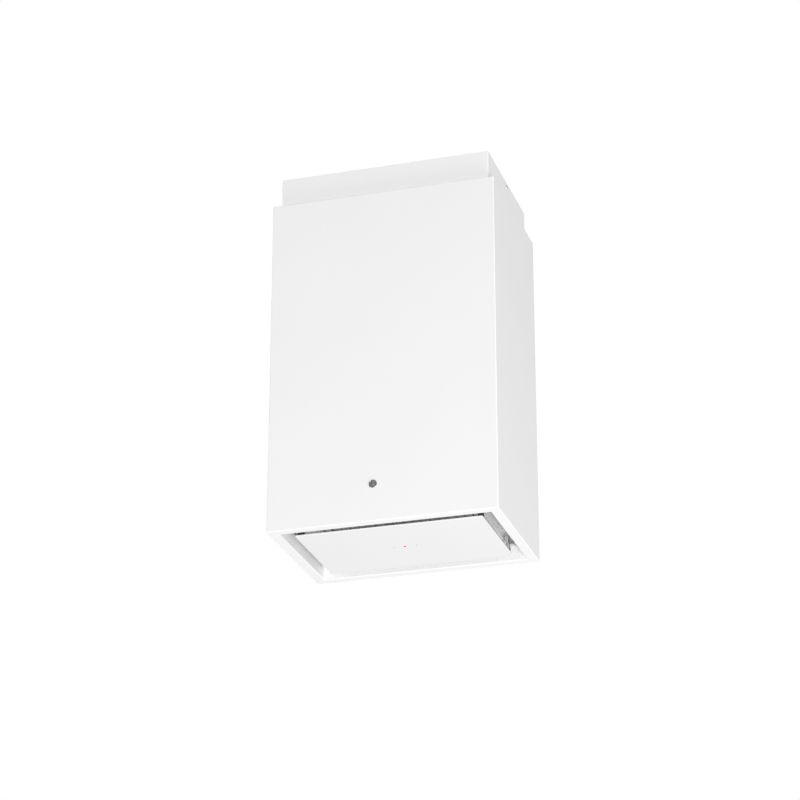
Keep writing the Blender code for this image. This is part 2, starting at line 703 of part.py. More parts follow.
def electrics():
    x0, x1 = CONTROL_BOX_X
    h0, h1 = CONTROL_BOX_H
    t = 0.0012
    bm = bmesh.new()
    box(bm, (x0, -CONTROL_BOX_HALF_D, up(h0)), (x1, CONTROL_BOX_HALF_D, up(h1)))
    tray = part("control_box", "black_plastic", bm)
    cutter = bmesh.new()
    inner_d = CONTROL_BOX_HALF_D - t
    box(cutter, (x0 + t, -inner_d, up(h0 + t)), (x1 - t, inner_d, up(h1 + 0.01)))
    cut(tray, cutter)
    hole = bmesh.new()
    rod(hole, "X", (x1 - 0.005, CABLE_HOLE[0], up(CABLE_HOLE[1])), 0.0052, 0.01, 16)
    cut(tray, hole)

    bm = bmesh.new()
    lid_low = h1 + GAP
    box(bm, (x0, -CONTROL_BOX_HALF_D, up(lid_low)), (x1, CONTROL_BOX_HALF_D, up(lid_low + 0.0018)))
    lid = part("control_box_lid", "black_plastic", bm)
    hole = bmesh.new()
    rod(hole, "Z", (*GLAND_AT, up(h1) - 0.005), 0.0080, 0.01, 24)
    cut(lid, hole)

    gland = [(0.0045, h1 - 0.008), (0.0076, h1 - 0.008), (0.0076, lid_low + 0.0021),
             (0.0110, lid_low + 0.0021), (0.0110, lid_low + 0.0080), (0.0090, lid_low + 0.0100),
             (0.0090, lid_low + 0.0180), (0.0070, lid_low + 0.0210), (0.0045, lid_low + 0.0210)]
    bm = bmesh.new()
    turned(bm, [(r, up(h)) for r, h in gland], Matrix.Translation((*GLAND_AT, 0)), 24, hollow=True)
    part("cable_gland", "grey_plastic", bm, round_angle=35)

    floor = up(h0 + t + GAP)
    bm = bmesh.new()
    box(bm, (-0.236, 0.010, floor), (-0.200, 0.070, floor + 0.012))
    block = part("terminal_block", "grey_plastic", bm)
    wells = bmesh.new()
    for k in range(4):
        rod(wells, "Z", (-0.218, 0.019 + 0.014 * k, floor + 0.006), 0.0035, 0.02, 12)
    cut(block, wells)

    curve = bpy.data.curves.new("motor_cable", "CURVE")
    curve.dimensions = "3D"
    curve.bevel_depth = CABLE_R
    curve.bevel_resolution = 2
    curve.use_fill_caps = True
    route = smooth_route([(x, y, up(h)) for x, y, h in CABLE_ROUTE], 0.015)
    spline = curve.splines.new("POLY")
    spline.points.add(len(route) - 1)
    for point, at in zip(spline.points, route):
        point.co = (*at, 1.0)
    curve.materials.append(principled("motor_cable", *FINISHES["cable_pvc"]))
    bpy.context.scene.collection.objects.link(bpy.data.objects.new("motor_cable", curve))


# ---------------------------------------------------------------- suction panel and its hinges
def suction_panel():
    half_w, half_d = HALF_W - PANEL_MARGIN, HALF_D - PANEL_MARGIN
    hinge = (0, HINGE_Y, up(HINGE_H))
    low, high = up(PANEL_BOTTOM), up(PANEL_BOTTOM + PANEL_T)
    bm = bmesh.new()
    prism(bm, rounded_rectangle(half_w, half_d, PANEL_CORNER_R), 2, low, high)
    panel = part("suction_panel", "white_paint", bm, origin=hinge, round_angle=35)
    holes = bmesh.new()
    rod(holes, "Z", (0, 0, low - 0.005), STATUS_LENS_R + GAP, 0.015, 24)
    for _, sign in SIDES:
        rod(holes, "Z", (sign * SENSOR_X, 0, low - 0.005), SENSOR_LENS_R + GAP, 0.015, 24)
    cut(panel, holes)

    seat = high + GAP
    for name, y in (("front", -0.070), ("back", 0.070)):
        t, half, height = 0.0010, 0.009, 0.007
        hat = [(y - half - 0.006, seat), (y - half + t, seat), (y - half + t, seat + height - t),
               (y + half - t, seat + height - t), (y + half - t, seat), (y + half + 0.006, seat),
               (y + half + 0.006, seat + t), (y + half, seat + t), (y + half, seat + height),
               (y - half, seat + height), (y - half, seat + t), (y - half - 0.006, seat + t)]
        bm = bmesh.new()
        prism(bm, hat, 0, -0.165, 0.165)
        part(f"panel_stiffener_{name}", "galvanised", bm, origin=hinge)

    bm = bmesh.new()
    prism(bm, rounded_rectangle(0.045, 0.015, 0.003, 3), 2, seat, seat + 0.009)
    part("sensor_module", "black_plastic", bm, origin=hinge)
    rise = [math.radians(90 * k / 5) for k in range(6)]
    dome = [(STATUS_LENS_R * math.sin(a), low - STATUS_LENS_PROUD * math.cos(a)) for a in rise]
    bm = bmesh.new()
    turned(bm, [*dome, (STATUS_LENS_R, high), (0, high)], Matrix.Identity(4), 24)
    part("status_lens", "red_lens", bm, origin=hinge, round_angle=35)
    for name, sign in SIDES:
        bm = bmesh.new()
        rod(bm, "Z", (sign * SENSOR_X, 0, low), SENSOR_LENS_R, PANEL_T, 24)
        part(f"sensor_lens_{name}", "smoked_lens", bm, origin=hinge, round_angle=35)


def panel_hinges():
    """Leaf on the panel, bracket under the deck and the pin through both, at each back corner."""
    z = up(HINGE_H)
    seat = up(PANEL_BOTTOM + PANEL_T + GAP)
    pin_hole = 0.0023
    for name, sign in SIDES:
        bm = bmesh.new()
        arc = [math.radians(-60 + 240 * k / 10) for k in range(11)]
        eye = [(HINGE_Y + 0.0055 * math.cos(a), z + 0.0055 * math.sin(a)) for a in arc]
        outline = eye + [(0.078, seat + 0.0015), (0.078, seat), (HINGE_Y + 0.0055, seat)]
        x0, x1 = sorted((sign * (HINGE_X - 0.0026), sign * (HINGE_X - 0.0008)))
        prism(bm, outline, 0, x0, x1)
        leaf = part(f"hinge_leaf_{name}", "stainless", bm, origin=(0, HINGE_Y, z))
        foot = bmesh.new()
        inner = HINGE_X - 0.0135
        mirrored_box(foot, sign, (inner, 0.0785, seat), (HINGE_X - 0.0015, 0.1170, seat + 0.0014))
        fuse(leaf, foot)
        hole = bmesh.new()
        rod(hole, "X", (sign * HINGE_X - 0.01, HINGE_Y, z), pin_hole, 0.02, 16)
        cut(leaf, hole)

        bm = bmesh.new()
        arc = [math.radians(180 + 180 * k / 8) for k in range(9)]
        outline = [(HINGE_Y + 0.006 * math.cos(a), z + 0.006 * math.sin(a)) for a in arc]
        top = up(DECK_H - GAP)
        outline += [(HINGE_Y + 0.006, top), (HINGE_Y - 0.018, top), (HINGE_Y - 0.018, top - 0.010)]
        x0, x1 = sorted((sign * (HINGE_X + 0.0004), sign * (HINGE_X + 0.0022)))
        prism(bm, outline, 0, x0, x1)
        bracket = part(f"hinge_bracket_{name}", "stainless", bm)
        flange = bmesh.new()
        mirrored_box(flange, sign, (HINGE_X + 0.0015, HINGE_Y - 0.0175, top - 0.0014),
                     (HINGE_X + 0.0140, HINGE_Y + 0.0055, top - 0.0001))
        fuse(bracket, flange)
        hole = bmesh.new()
        rod(hole, "X", (sign * HINGE_X - 0.01, HINGE_Y, z), pin_hole, 0.02, 16)
        cut(bracket, hole)

        pin = [(0, -0.0042), (0.0036, -0.0042), (0.0036, -0.0030), (0.0020, -0.0030), (0.0020, 0.0026),
               (0.0036, 0.0026), (0.0036, 0.0038), (0, 0.0038)]
        turn = along("X", (sign * HINGE_X, HINGE_Y, z))
        if sign < 0:
            turn = turn @ Matrix.Rotation(math.pi, 4, "Y")
        bm = bmesh.new()
        turned(bm, pin, turn, 16)
        part(f"hinge_pin_{name}", "steel_pin", bm, round_angle=35)


def panel_catches():
    """Magnetic catches on posts under the deck that hold the steel panel's front corners."""
    top = up(DECK_H - GAP)
    low = up(PANEL_BOTTOM + PANEL_T + GAP)
    for name, sign in SIDES:
        bm = bmesh.new()
        mirrored_box(bm, sign, (0.1900, -0.1120, low), (0.2000, -0.0980, top - 0.0010))
        post = part(f"panel_catch_{name}", "black_plastic", bm)
        flange = bmesh.new()
        mirrored_box(flange, sign, (0.1890, -0.1165, top - 0.0020), (0.2110, -0.0935, top))
        fuse(post, flange)


def badge():
    """Plain round badge on the casing's front."""
    x, h = BADGE_AT
    profile = [(0, 0), (BADGE_R - 0.0004, 0), (BADGE_R, 0.0004), (BADGE_R, 0.0012), (0, 0.0012)]
    bm = bmesh.new()
    turned(bm, profile, along("Y", (x, -HALF_D - GAP - 0.0012, up(h))), 32)
    part("badge", "stainless", bm, round_angle=35)


# ---------------------------------------------------------------- build
def build():
    for obj in list(bpy.data.objects):
        bpy.data.objects.remove(obj)
    ceiling_plate()
    legs()
    sleeve()
    sleeve_screws()
    casing()
    sleeve_guide()
    chassis_deck()
    grease_filters()
    filter_supports()
    filter_latches()
    motor_box()
    blower_housing()
    impeller()
    motor()
    capacitor()
    outlet_collar()
    damper_flaps()
    electrics()
    suction_panel()
    panel_hinges()
    panel_catches()
    badge()


build()
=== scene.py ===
# Looks for the island range hood: painted steel skins, galvanised inner parts and steel baffle filters.
# Metres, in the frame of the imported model: the origin is on the ceiling and the front faces -Y.
import json
import math

import bmesh
import bpy
from mathutils import Matrix, Vector


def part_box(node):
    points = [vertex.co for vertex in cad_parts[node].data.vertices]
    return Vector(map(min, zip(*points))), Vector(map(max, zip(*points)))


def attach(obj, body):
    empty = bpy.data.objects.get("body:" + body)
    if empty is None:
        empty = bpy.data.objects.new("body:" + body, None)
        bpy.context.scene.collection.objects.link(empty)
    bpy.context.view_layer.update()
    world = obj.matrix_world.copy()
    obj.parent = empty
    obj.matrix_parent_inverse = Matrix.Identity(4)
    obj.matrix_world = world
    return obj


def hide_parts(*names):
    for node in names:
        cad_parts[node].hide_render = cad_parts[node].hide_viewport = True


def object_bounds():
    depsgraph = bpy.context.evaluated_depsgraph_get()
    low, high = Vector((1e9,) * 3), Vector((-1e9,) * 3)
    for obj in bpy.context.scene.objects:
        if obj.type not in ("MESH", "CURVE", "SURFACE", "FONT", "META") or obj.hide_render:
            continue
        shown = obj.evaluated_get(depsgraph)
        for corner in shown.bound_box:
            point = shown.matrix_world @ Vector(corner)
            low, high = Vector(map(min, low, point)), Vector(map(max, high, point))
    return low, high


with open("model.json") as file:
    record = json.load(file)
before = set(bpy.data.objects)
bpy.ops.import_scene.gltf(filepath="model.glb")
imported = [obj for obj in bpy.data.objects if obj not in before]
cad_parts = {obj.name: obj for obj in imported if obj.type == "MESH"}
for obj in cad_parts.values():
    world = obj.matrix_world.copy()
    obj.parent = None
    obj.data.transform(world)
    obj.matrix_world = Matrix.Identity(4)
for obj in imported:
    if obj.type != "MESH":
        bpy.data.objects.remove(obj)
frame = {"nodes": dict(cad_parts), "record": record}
cad_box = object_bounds()

# ---------------------------------------------------------------- driving values
# An azimuth is 0 in front and 90 to the right; a negative elevation is below.
CAMERA_AZIMUTH = 17.0
CAMERA_ELEVATION = -23.25
CAMERA_DISTANCE = 5.50
CAMERA_LENS = 121.5
CAMERA_AIM = (0.0785, -0.293, -0.622)

# The floor is so far down that every camera and softbox below the hood stays above it.
FLOOR_DROP = 14.0
FLOOR_R = 45.0
FLOOR_GLOW = 0.14

# The studio's strength, and how it leans towards the back, the left and above.
STUDIO_LEVEL = 0.45
STUDIO_LEAN = (-0.06, 0.24, 0.06)

# Painted sheet
SHEET_T = 0.0012
SLEEVE_T = 0.001
FOLD_R = 0.0022
EDGE_R = 0.0016
INNER_FOLD_R = 0.0004
CUT_R = 0.0003
RIM_W = 0.022
UPSTAND_H = 0.035
TOP_FLANGE_W = 0.0125
PANEL_CORNER_R = 0.004
PANEL_EDGE_R = 0.0009

# Baffle filters; a layer is the height of its channels' underside in the filter, and their own height.
FILTER_OUTER_W = 0.022
FILTER_INNER_W = 0.010
FILTER_END_W = 0.014
FILTER_FOLD_R = 0.0012
BAFFLE_PITCH = 0.019
BAFFLE_W = 0.0130
BAFFLE_T = 0.0008
LOWER_LAYER = (0.0008, 0.0032)
UPPER_LAYER = (0.0052, 0.0034)

SCREW_R = 0.0034
# The most of an outline's edge that one rounded corner may take
CORNER_SHARE = 0.49
NOISE_LOW, NOISE_HIGH = 0.3, 0.7
X, Y, Z = 0, 1, 2
SIDES = (("left", -1), ("right", 1))

slot_of = {row["node"]: row["material_slot"] for row in frame["record"]["subparts"]}


def span(node):
    """Lowest corner, highest corner and centre of a node."""
    lo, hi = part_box(node)
    return lo, hi, (lo + hi) / 2


# ---------------------------------------------------------------- material nodes
def material(name, metallic=0.0, **constants):
    """A new material; each constant names a socket of its shader, with _ for a space."""
    mat = bpy.data.materials.new(name)
    mat.use_nodes = True
    shader = mat.node_tree.nodes["Principled BSDF"]
    shader.inputs["Metallic"].default_value = metallic
    for socket, value in constants.items():
        shader.inputs[socket.replace("_", " ")].default_value = value
    return mat, mat.node_tree, shader


def place(tree, scale=(1.0, 1.0, 1.0)):
    """The object's own coordinates, stretched by scale."""
    coordinates = tree.nodes.new("ShaderNodeTexCoord")
    mapping = tree.nodes.new("ShaderNodeMapping")
    mapping.inputs["Scale"].default_value = scale
    tree.links.new(coordinates.outputs["Object"], mapping.inputs["Vector"])
    return mapping.outputs["Vector"]


def noise(tree, vector, scale, detail=3.0, roughness=0.5):
    """Soft noise; most of it lies between NOISE_LOW and NOISE_HIGH."""
    texture = tree.nodes.new("ShaderNodeTexNoise")
    texture.inputs["Scale"].default_value = scale
    texture.inputs["Detail"].default_value = detail
    texture.inputs["Roughness"].default_value = roughness
    tree.links.new(vector, texture.inputs["Vector"])
    return texture.outputs["Fac"]


def cells(tree, vector, scale):
    """One random grey for each crystal of a zinc coating."""
    texture = tree.nodes.new("ShaderNodeTexVoronoi")
    texture.inputs["Scale"].default_value = scale
    tree.links.new(vector, texture.inputs["Vector"])
    grey = tree.nodes.new("ShaderNodeRGBToBW")
    tree.links.new(texture.outputs["Color"], grey.inputs["Color"])
    return grey.outputs["Val"]


def colour_between(tree, shader, factor, dark, light):
    """Base colour that goes from dark to light as a texture rises."""
    ramp = tree.nodes.new("ShaderNodeValToRGB")
    ramp.color_ramp.elements[0].position = NOISE_LOW
    ramp.color_ramp.elements[0].color = (*dark, 1.0)
    ramp.color_ramp.elements[1].position = NOISE_HIGH
    ramp.color_ramp.elements[1].color = (*light, 1.0)
    tree.links.new(factor, ramp.inputs["Fac"])
    tree.links.new(ramp.outputs["Color"], shader.inputs["Base Color"])


def roughness_between(tree, shader, factor, smooth, rough):
    """Roughness that goes from smooth to rough as a texture rises."""
    remap = tree.nodes.new("ShaderNodeMapRange")
    remap.inputs["From Min"].default_value = NOISE_LOW
    remap.inputs["From Max"].default_value = NOISE_HIGH
    remap.inputs["To Min"].default_value = smooth
    remap.inputs["To Max"].default_value = rough
    tree.links.new(factor, remap.inputs["Value"])
    tree.links.new(remap.outputs["Result"], shader.inputs["Roughness"])


def bump(tree, shader, height, strength, distance):
    """Shade a texture as a relief of the given depth."""
    node = tree.nodes.new("ShaderNodeBump")
    node.inputs["Strength"].default_value = strength
    node.inputs["Distance"].default_value = distance
    tree.links.new(height, node.inputs["Height"])
    tree.links.new(node.outputs["Normal"], shader.inputs["Normal"])


def white_paint(name="white_paint", dark=0.868, light=0.880):
    """Satin powder coat: a faint orange peel and a broad, barely seen change of tone."""
    mat, tree, shader = material(name, Specular_IOR_Level=0.45)
    vector = place(tree)
    colour_between(tree, shader, noise(tree, vector, scale=5.0), (dark,) * 3, (light,) * 3)
    roughness_between(tree, shader, noise(tree, vector, scale=60.0), smooth=0.40, rough=0.48)
    bump(tree, shader, noise(tree, vector, scale=650.0, detail=2.0), strength=0.10, distance=0.0002)
    return mat


def galvanised():
    """Zinc-coated sheet with spangle."""
    mat, tree, shader = material("galvanised", metallic=0.40)
    vector = place(tree)
    spangle = cells(tree, vector, scale=110.0)
    colour_between(tree, shader, spangle, dark=(0.64, 0.65, 0.66), light=(0.72, 0.73, 0.74))
    roughness_between(tree, shader, spangle, smooth=0.46, rough=0.58)
    bump(tree, shader, noise(tree, vector, scale=320.0), strength=0.12, distance=0.0002)
    return mat


def brushed(name, along, dark, light, metallic):
    """Stainless sheet brushed along one axis."""
    across_grain, along_grain = 700.0, 9.0
    mat, tree, shader = material(name, metallic=metallic)
    stretch = [across_grain] * 3
    stretch[along] = along_grain
    grain = noise(tree, place(tree, stretch), scale=1.0, detail=4.0, roughness=0.6)
    colour_between(tree, shader, grain, (dark,) * 3, (light,) * 3)
    roughness_between(tree, shader, grain, smooth=0.28, rough=0.42)
    bump(tree, shader, grain, strength=0.15, distance=0.0001)
    return mat


def fine_metal(name, dark, light, scale, smooth, rough, strength):
    """Small plated or cast pieces: an even grain, and tarnish in patches six times its size."""
    mat, tree, shader = material(name, metallic=1.0)
    vector = place(tree)
    colour_between(tree, shader, noise(tree, vector, scale / 6), dark, light)
    grain = noise(tree, vector, scale)
    roughness_between(tree, shader, grain, smooth, rough)
    bump(tree, shader, grain, strength, distance=0.0002)
    return mat


def moulded(name, dark, light, smooth, rough):
    """Moulded plastic with a fine spark-eroded texture."""
    mat, tree, shader = material(name)
    vector = place(tree)
    colour_between(tree, shader, noise(tree, vector, scale=90.0), dark, light)
    grain = noise(tree, vector, scale=1400.0, detail=2.0)
    roughness_between(tree, shader, grain, smooth, rough)
    bump(tree, shader, grain, strength=0.20, distance=0.0001)
    return mat


def lens(name, dark, light, glow=0.0):
    """Clear-coated coloured lens; a lit one glows."""
    mat, tree, shader = material(name, Specular_IOR_Level=0.25, Coat_Weight=0.10, Coat_Roughness=0.05)
    vector = place(tree)
    colour_between(tree, shader, noise(tree, vector, scale=300.0), dark, light)
    roughness_between(tree, shader, noise(tree, vector, scale=700.0), smooth=0.10, rough=0.22)
    if glow:
        shader.inputs["Emission Color"].default_value = (*light, 1.0)
        shader.inputs["Emission Strength"].default_value = glow
    return mat


FINISH = {
    "white_paint": white_paint(),
    "galvanised": galvanised(),
    "stainless": brushed("stainless", Y, 0.56, 0.68, metallic=0.55),
    "zinc_screw": fine_metal("zinc_screw", (0.58, 0.58, 0.55), (0.70, 0.70, 0.68),
                             scale=900.0, smooth=0.25, rough=0.42, strength=0.10),
    "black_plastic": moulded("black_plastic", (0.020,) * 3, (0.034,) * 3, smooth=0.42, rough=0.58),
    "grey_plastic": moulded("grey_plastic", (0.27, 0.28, 0.29), (0.33, 0.34, 0.35), smooth=0.48, rough=0.62),
    "motor_cast": fine_metal("motor_cast", (0.40,) * 3, (0.50,) * 3,
                             scale=450.0, smooth=0.45, rough=0.62, strength=0.35),
    "cable_pvc": moulded("cable_pvc", (0.015,) * 3, (0.028,) * 3, smooth=0.38, rough=0.52),
    "red_lens": lens("red_lens", (0.55, 0.01, 0.01), (0.75, 0.010, 0.010), glow=0.4),
    "smoked_lens": lens("smoked_lens", (0.32,) * 3, (0.40,) * 3),
    "steel_pin": fine_metal("steel_pin", (0.48,) * 3, (0.60,) * 3,
                            scale=800.0, smooth=0.20, rough=0.34, strength=0.08),
}
STAINLESS_ACROSS = brushed("stainless_across", X, 0.56, 0.68, metallic=0.55)
# A lighter, less metallic copy of the stainless: painted light, so the filters show bright in the shaded
# recess behind the panel.
LIT_FILTER_STEEL = brushed("filter_steel_lit", Y, 0.70, 0.80, metallic=0.20)
# A darker copy of the casing's white paint: painted shade, so the panel reads darker than the rim round it.
SHADED_PANEL_PAINT = white_paint("panel_paint_shaded", 0.815, 0.826)
BADGE_METAL = brushed("badge_metal", Z, 0.42, 0.60, metallic=1.0)


# ---------------------------------------------------------------- mesh building blocks
def finished(name, bm, finish, smooth_angle=30.0):
    """Turn a bmesh into a shown object with smooth folds and flat faces."""
    mesh = bpy.data.meshes.new(name)
    bmesh.ops.recalc_face_normals(bm, faces=bm.faces[:])
    bm.to_mesh(mesh)
    bm.free()
    mesh.shade_smooth()
    mesh.set_sharp_from_angle(angle=math.radians(smooth_angle))
    obj = bpy.data.objects.new(name, mesh)
    bpy.context.scene.collection.objects.link(obj)
    obj.data.materials.append(finish)
    weighted = obj.modifiers.new("flat_faces", "WEIGHTED_NORMAL")
    weighted.keep_sharp = True
    return obj


def piece(name, bm, body, slot, finish=None, replaces=(), smooth_angle=30.0):
    """A finished piece that rides on a body and may stand for CAD nodes."""
    obj = finished(name, bm, finish or FINISH[slot], smooth_angle)
    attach(obj, body)
    if replaces:
        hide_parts(*replaces)
    return obj


def cut_holes(obj, bm):
    """Cut the solids of a bmesh out of an object's mesh."""
    helper = finished(obj.name + "_holes", bm, obj.data.materials[0])
    boolean = obj.modifiers.new("holes", "BOOLEAN")
    boolean.operation = "DIFFERENCE"
    boolean.solver = "EXACT"
    boolean.object = helper
    obj.modifiers.move(len(obj.modifiers) - 1, 0)
    shown = bpy.context.evaluated_depsgraph_get()
    mesh = bpy.data.meshes.new_from_object(obj.evaluated_get(shown))
    obj.modifiers.remove(boolean)
    obj.data = mesh
    mesh.set_sharp_from_angle(angle=math.radians(30.0))
    bpy.data.objects.remove(helper)


def fillet(points, radius, steps=4):
    """Round the corners of a closed outline; radius is one number, or one for each corner."""
    radii = [radius] * len(points) if isinstance(radius, float) else radius
    rounded = []
    for i, r in enumerate(radii):
        corner = Vector(points[i])
        before = Vector(points[i - 1]) - corner
        after = Vector(points[(i + 1) % len(points)]) - corner
        if r <= 0.0:
            rounded.append(tuple(corner))
            continue
        half = before.angle(after) / 2
        reach = min(r / math.tan(half), before.length * CORNER_SHARE, after.length * CORNER_SHARE)
        inward = (before.normalized() + after.normalized()).normalized()
        middle = corner + inward * (reach / math.cos(half))
        start = corner + before.normalized() * reach - middle
        end = corner + after.normalized() * reach - middle
        first = math.atan2(start.y, start.x)
        sweep = (math.atan2(end.y, end.x) - first + math.pi) % (2 * math.pi) - math.pi
        for k in range(steps + 1):
            turn = first + sweep * k / steps
            rounded.append((middle.x + start.length * math.cos(turn),
                            middle.y + start.length * math.sin(turn)))
    return rounded


def close_stack(bm, rings):
    """Cap both ends of a stack of rings and join each ring to the next."""
    bm.faces.new(rings[0])
    bm.faces.new(rings[-1])
    for a, b in zip(rings, rings[1:]):
        for i in range(len(a)):
            j = (i + 1) % len(a)
            bm.faces.new((a[i], a[j], b[j], b[i]))


def prism(bm, outline, axis, lo, hi, chamfer=0.0):
    """Extrude a closed outline from lo to hi along an axis, with its ends drawn in by the chamfer."""
    first, second = [i for i in range(3) if i != axis]
    centre = [sum(p[i] for p in outline) / len(outline) for i in (0, 1)]

    def ring(level, shrink):
        verts = []
        for p in outline:
            offset = Vector((p[0] - centre[0], p[1] - centre[1]))
            scale = max(offset.length - shrink, 0.0) / max(offset.length, 1e-9)
            at = [0.0, 0.0, 0.0]
            at[first] = centre[0] + offset.x * scale
            at[second] = centre[1] + offset.y * scale
            at[axis] = level
            verts.append(bm.verts.new(at))
        return verts

    if chamfer:
        levels = [(lo, chamfer), (lo + chamfer, 0.0), (hi - chamfer, 0.0), (hi, chamfer)]
    else:
        levels = [(lo, 0.0), (hi, 0.0)]
    close_stack(bm, [ring(level, shrink) for level, shrink in levels])


def rounded_rectangle(half_w, half_d, radius, steps):
    """Outline of a rectangle with rounded corners, centred on the origin."""
    corners = [(half_w, -half_d), (half_w, half_d), (-half_w, half_d), (-half_w, -half_d)]
    return fillet(corners, radius, steps)


def folded_ring(bm, profile, half_w, half_d, fold_r, steps=8):
    """Sweep a closed (inset, z) profile round a rectangle, with folded corners of radius fold_r."""
    loops = []
    for corner, (sx, sy) in enumerate(((1, 1), (-1, 1), (-1, -1), (1, -1))):
        for step in range(steps + 1):
            turn = math.radians(90 * corner + 90 * step / steps)
            loop = []
            for inset, z in profile:
                radius = max(fold_r - inset, 0.0)
                edge = max(inset, fold_r)
                x = sx * (half_w - edge) + radius * math.cos(turn)
                y = sy * (half_d - edge) + radius * math.sin(turn)
                loop.append(bm.verts.new((x, y, z)))
            loops.append(loop)
    for a, b in zip(loops, loops[1:] + loops[:1]):
        for i in range(len(profile)):
            j = (i + 1) % len(profile)
            bm.faces.new((a[i], b[i], b[j], a[j]))
    bmesh.ops.remove_doubles(bm, verts=bm.verts[:], dist=1e-6)


def quarter_turns(step):
    """Angles from 0 to 90 degrees, in radians, with the step in degrees."""
    return [math.radians(a) for a in range(0, 91, step)]


def turned(bm, profile, matrix, segments):
    """Turn (radius, height) points round local Z; the first and last points lie on the axis."""
    rings = []
    for radius, height in profile:
        if radius == 0.0:
            rings.append([bm.verts.new(matrix @ Vector((0, 0, height)))])
            continue
        turns = [2 * math.pi * k / segments for k in range(segments)]
        points = [Vector((radius * math.cos(t), radius * math.sin(t), height)) for t in turns]
        rings.append([bm.verts.new(matrix @ p) for p in points])
    for a, b in zip(rings, rings[1:]):
        for k in range(segments):
            n = (k + 1) % segments
            ends = [a[k % len(a)], a[n % len(a)], b[n % len(b)], b[k % len(b)]]
            bm.faces.new(list(dict.fromkeys(ends)))


def facing(direction, at):
    """Matrix that turns local +Z onto a direction and moves to a point."""
    return Matrix.Translation(at) @ Vector(direction).to_track_quat("Z", "Y").to_matrix().to_4x4()


# ---------------------------------------------------------------- screws and rivets
def screw_head_mesh():
    """A pan head of radius 1 with a cross recess, scaled down where it is used; its seat is at z 0."""
    seat_r, skirt_h, dome_h = 0.97, 0.10, 0.50
    bm = bmesh.new()
    arc = [(math.cos(a), skirt_h + dome_h * math.sin(a)) for a in quarter_turns(15)]
    arc[-1] = (0.0, arc[-1][1])
    turned(bm, [(0.0, 0.0), (seat_r, 0.0), *arc], Matrix.Identity(4), 20)
    head = finished("screw_head_pattern", bm, FINISH["zinc_screw"])

    arm, half_w = 0.52, 0.10
    recess_floor, above_head = 0.31, 0.93
    quarter = [(half_w, -arm), (half_w, -half_w), (arm, -half_w)]
    cross = []
    for _ in range(4):
        cross += quarter
        quarter = [(-y, x) for x, y in quarter]
    recess = bmesh.new()
    prism(recess, cross, Z, recess_floor, above_head)
    cut_holes(head, recess)
    mesh = head.data
    bpy.data.objects.remove(head)
    return mesh


SCREW_HEAD = screw_head_mesh()


def screws(name, body, places, radius=SCREW_R, replaces=()):
    """One piece with a pan head at each (point, direction) place, each turned a little differently."""
    turn_step, first_turn = 0.7, 0.3
    size = Matrix.Diagonal((radius, radius, radius, 1.0))
    bm = bmesh.new()
    for index, (at, direction) in enumerate(places):
        spin = Matrix.Rotation(turn_step * index + first_turn, 4, "Z")
        copy = SCREW_HEAD.copy()
        copy.transform(facing(direction, at) @ spin @ size)
        bm.from_mesh(copy)
        bpy.data.meshes.remove(copy)
    piece(name, bm, body, "zinc_screw", replaces=replaces)


def rivets(name, body, slot, places, radius, height):
    """One piece with a low dome at each (point, direction) place, for rivet heads or spot welds."""
    dome = [(radius * math.cos(a), height * math.sin(a)) for a in quarter_turns(18)]
    dome[-1] = (0.0, height)
    bm = bmesh.new()
    for at, direction in places:
        turned(bm, [(0.0, 0.0), *dome], facing(direction, at), 16)
    piece(name, bm, body, slot, smooth_angle=50.0)


# ---------------------------------------------------------------- painted skins
def casing_skin():
    """The box: one folded sheet with a turned-in rim below and a flange above."""
    lo, hi, _ = span("casing")
    t = SHEET_T
    upstand_top = lo.z + UPSTAND_H
    points, radii = zip(
        ((0, hi.z), EDGE_R), ((0, lo.z), EDGE_R), ((RIM_W, lo.z), EDGE_R),
        ((RIM_W, upstand_top), CUT_R), ((RIM_W - t, upstand_top), CUT_R),
        ((RIM_W - t, lo.z + t), INNER_FOLD_R), ((t, lo.z + t), INNER_FOLD_R), ((t, hi.z - t), INNER_FOLD_R),
        ((TOP_FLANGE_W, hi.z - t), CUT_R), ((TOP_FLANGE_W, hi.z), CUT_R),
    )
    bm = bmesh.new()
    folded_ring(bm, fillet(points, radii), hi.x, hi.y, FOLD_R)
    piece("casing_skin", bm, "hood", "white_paint", replaces=["casing"])


def sleeve_skin():
    """The sleeve above the box: one folded sheet, open above and below."""
    lo, hi, _ = span("sleeve")
    profile = fillet([(0, hi.z), (0, lo.z), (SLEEVE_T, lo.z), (SLEEVE_T, hi.z)], CUT_R, 3)
    bm = bmesh.new()
    folded_ring(bm, profile, hi.x, hi.y, FOLD_R)
    piece("sleeve_skin", bm, "ceiling_group", "white_paint", replaces=["sleeve"])


